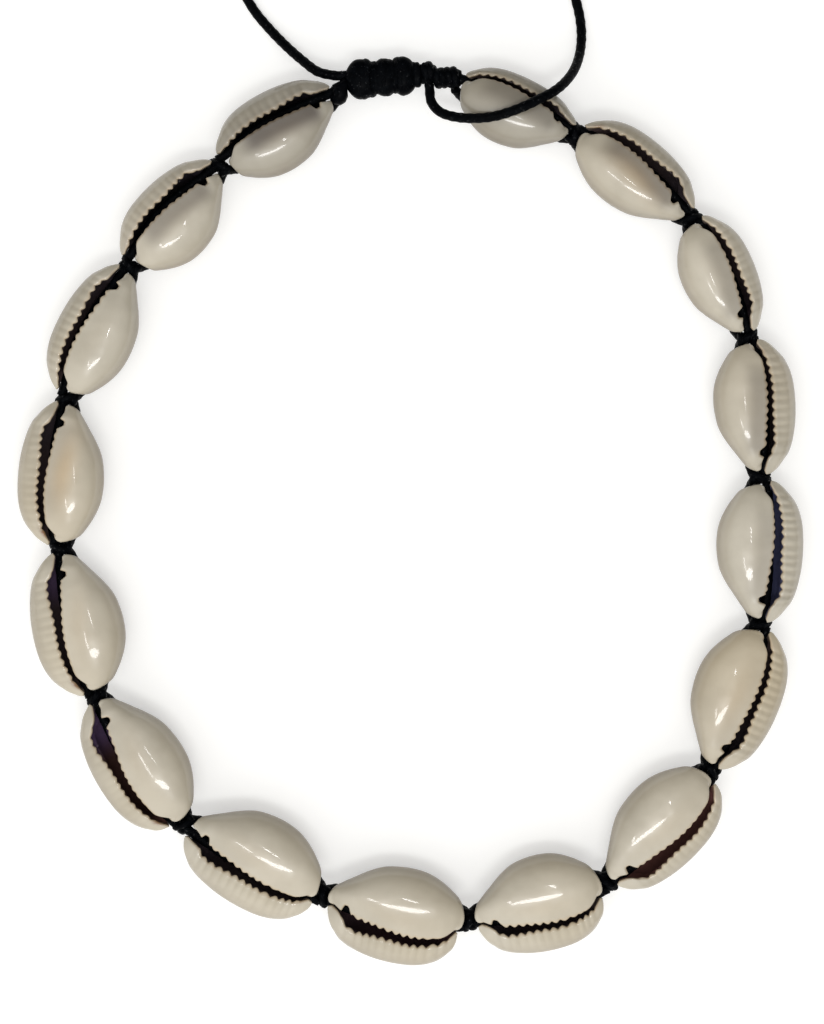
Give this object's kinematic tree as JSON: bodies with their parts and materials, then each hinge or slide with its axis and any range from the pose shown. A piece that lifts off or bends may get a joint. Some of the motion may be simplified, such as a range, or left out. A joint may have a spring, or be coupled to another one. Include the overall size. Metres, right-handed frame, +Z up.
{
  "type": "cowrie shell necklace",
  "caption": "Choker of whole cowrie shells knotted mouth up on a doubled black cord, closed by a sliding macrame knot with two free cord ends.",
  "frame": {"origin": "on the table the necklace lies on, in the middle of the ring of shells", "axes": "+Y towards the clasp with the sliding knot, +Z up from the table, towards the mouths of the shells"},
  "size_m": [0.1261, 0.1659, 0.0128],
  "materials": {
    "cowrie_shell": "polished natural shell",
    "braided_cord": "waxed braided cord"
  },
  "bodies": {
    "root": {"shell_01": "cowrie_shell", "shell_02": "cowrie_shell", "shell_03": "cowrie_shell", "shell_04": "cowrie_shell", "shell_05": "cowrie_shell", "shell_06": "cowrie_shell", "shell_07": "cowrie_shell", "shell_08": "cowrie_shell", "shell_09": "cowrie_shell", "shell_10": "cowrie_shell", "shell_11": "cowrie_shell", "shell_12": "cowrie_shell", "shell_13": "cowrie_shell", "shell_14": "cowrie_shell", "shell_15": "cowrie_shell", "shell_16": "cowrie_shell", "cord": "braided_cord", "sliding_knot": "braided_cord", "tail_left": "braided_cord", "tail_right": "braided_cord"}
  },
  "joints": []
}
